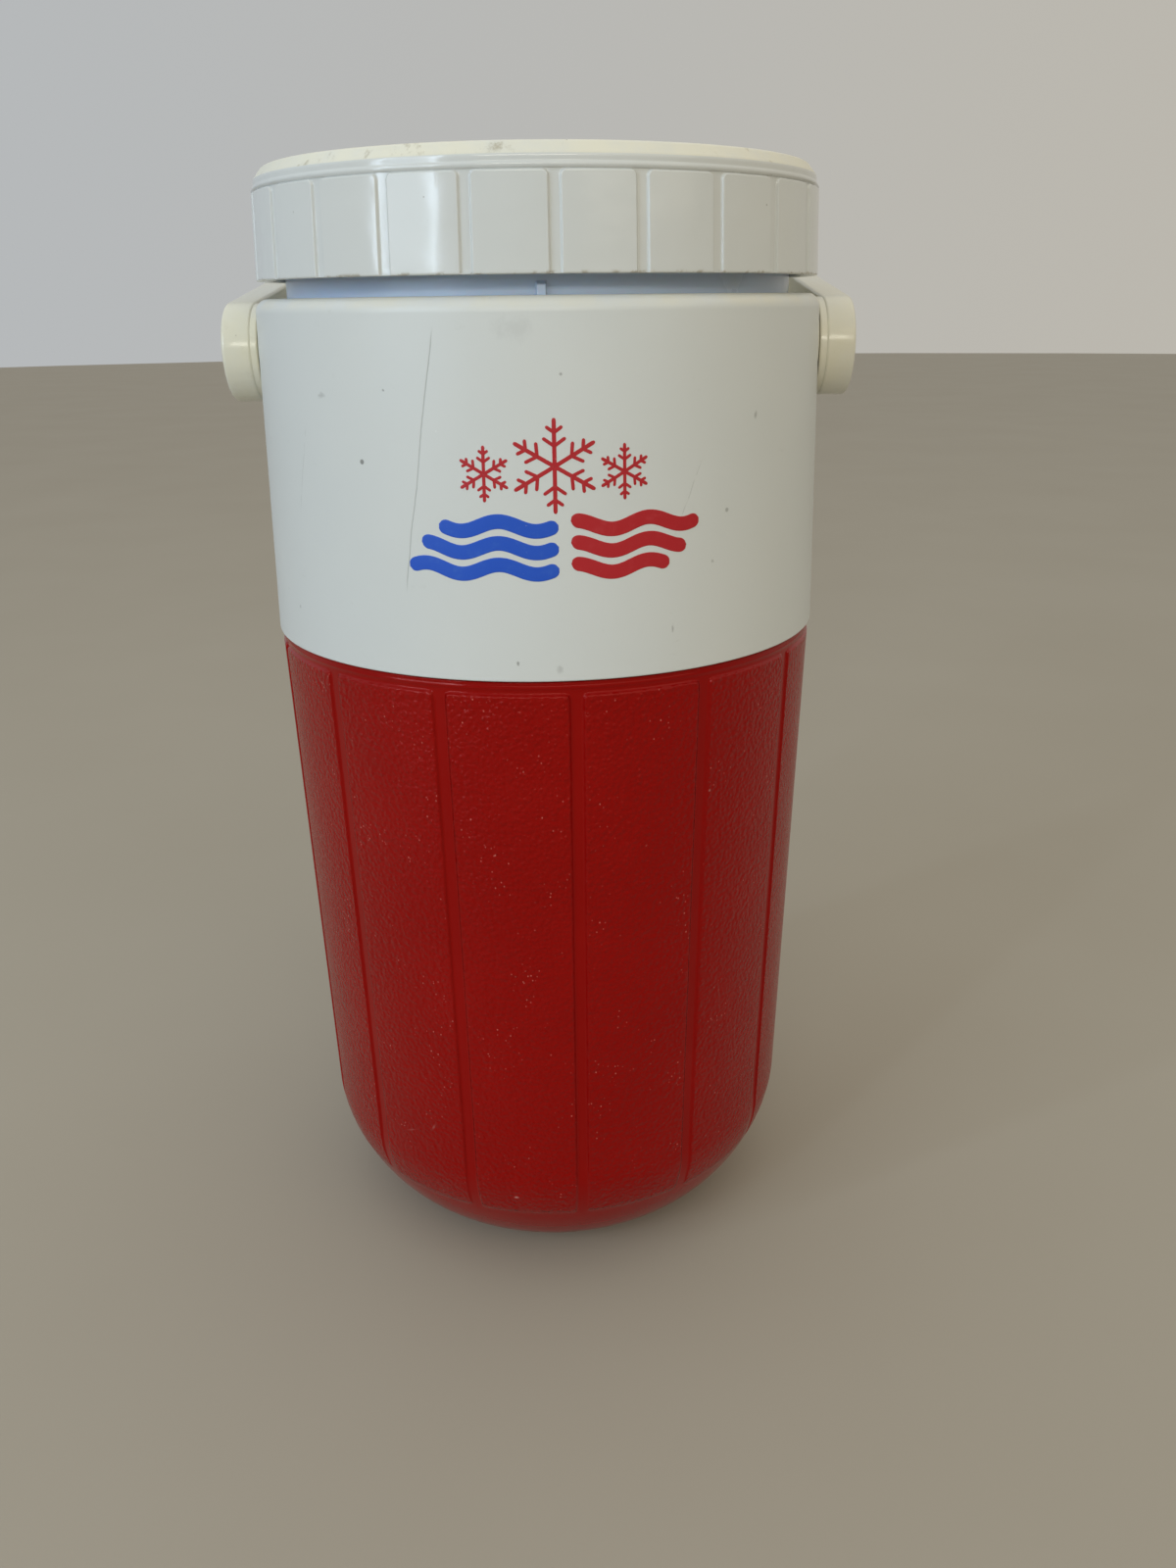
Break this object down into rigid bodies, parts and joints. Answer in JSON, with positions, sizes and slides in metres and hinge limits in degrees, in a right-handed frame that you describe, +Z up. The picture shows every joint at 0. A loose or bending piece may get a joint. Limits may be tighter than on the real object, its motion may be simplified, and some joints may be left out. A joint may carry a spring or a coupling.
{
  "type": "insulated beverage jug",
  "caption": "Two-tone insulated drinks jug with a panelled screw lid, a threaded wide neck, foam-filled shells and a swinging bail handle.",
  "frame": {"origin": "centre of the base, on the surface the jug stands on", "axes": "+Z up along the jug's axis, front (the printed side) towards -Y, the bail's pivots on X"},
  "size_m": [0.1506, 0.1573, 0.272],
  "materials": {
    "red_shell": "deep red polyethylene, glossy with a pebbled grain on the panels",
    "white_shell": "grey-white moulded plastic, satin, lightly scuffed, printed on the front",
    "lid_shell": "grey-white moulded plastic, semi-gloss, yellowed along the rim",
    "handle": "cream moulded plastic, satin, yellowed",
    "liner": "bluish-white food-grade polyethylene, satin",
    "gasket": "soft off-white seal",
    "foam": "rigid pale yellow foam with a fine cell",
    "pin_steel": "bright drawn wire",
    "bushing": "natural white moulded plastic"
  },
  "bodies": {
    "jug": {"lower_shell": "red_shell", "upper_shell": "white_shell", "inner_liner": "liner", "body_insulation": "foam", "base_fill_plug": "red_shell", "pivot_bushing_left": "bushing", "pivot_bushing_right": "bushing"},
    "seal": {"lid_gasket": "gasket"},
    "lid": {"lid_cap": "lid_shell", "lid_liner": "liner", "lid_insulation": "foam", "lid_fill_plug": "liner"},
    "bail": {"bail_handle": "handle", "pivot_pin_left": "pin_steel", "pivot_pin_right": "pin_steel", "pin_washer_left": "pin_steel", "pin_washer_right": "pin_steel"}
  },
  "joints": [
    {"name": "bail_pivot", "type": "hinge", "parent": "jug", "child": "bail", "pos_m": [0, 0, 0.233], "axis": [1, 0, 0], "range_deg": [-33, 197]},
    {"name": "lid_lift", "type": "slide", "parent": "jug", "child": "seal", "axis": [0, 0, 1], "range_m": [0, 0.085]},
    {"name": "lid_turn", "type": "hinge", "parent": "seal", "child": "lid", "pos_m": [0, 0, 0.26], "axis": [0, 0, 1], "range_deg": [0, 1260]}
  ],
  "couplings": [
    {"joint": "lid_lift", "follows": "lid_turn", "m_per_rad": 0.0038197}
  ]
}
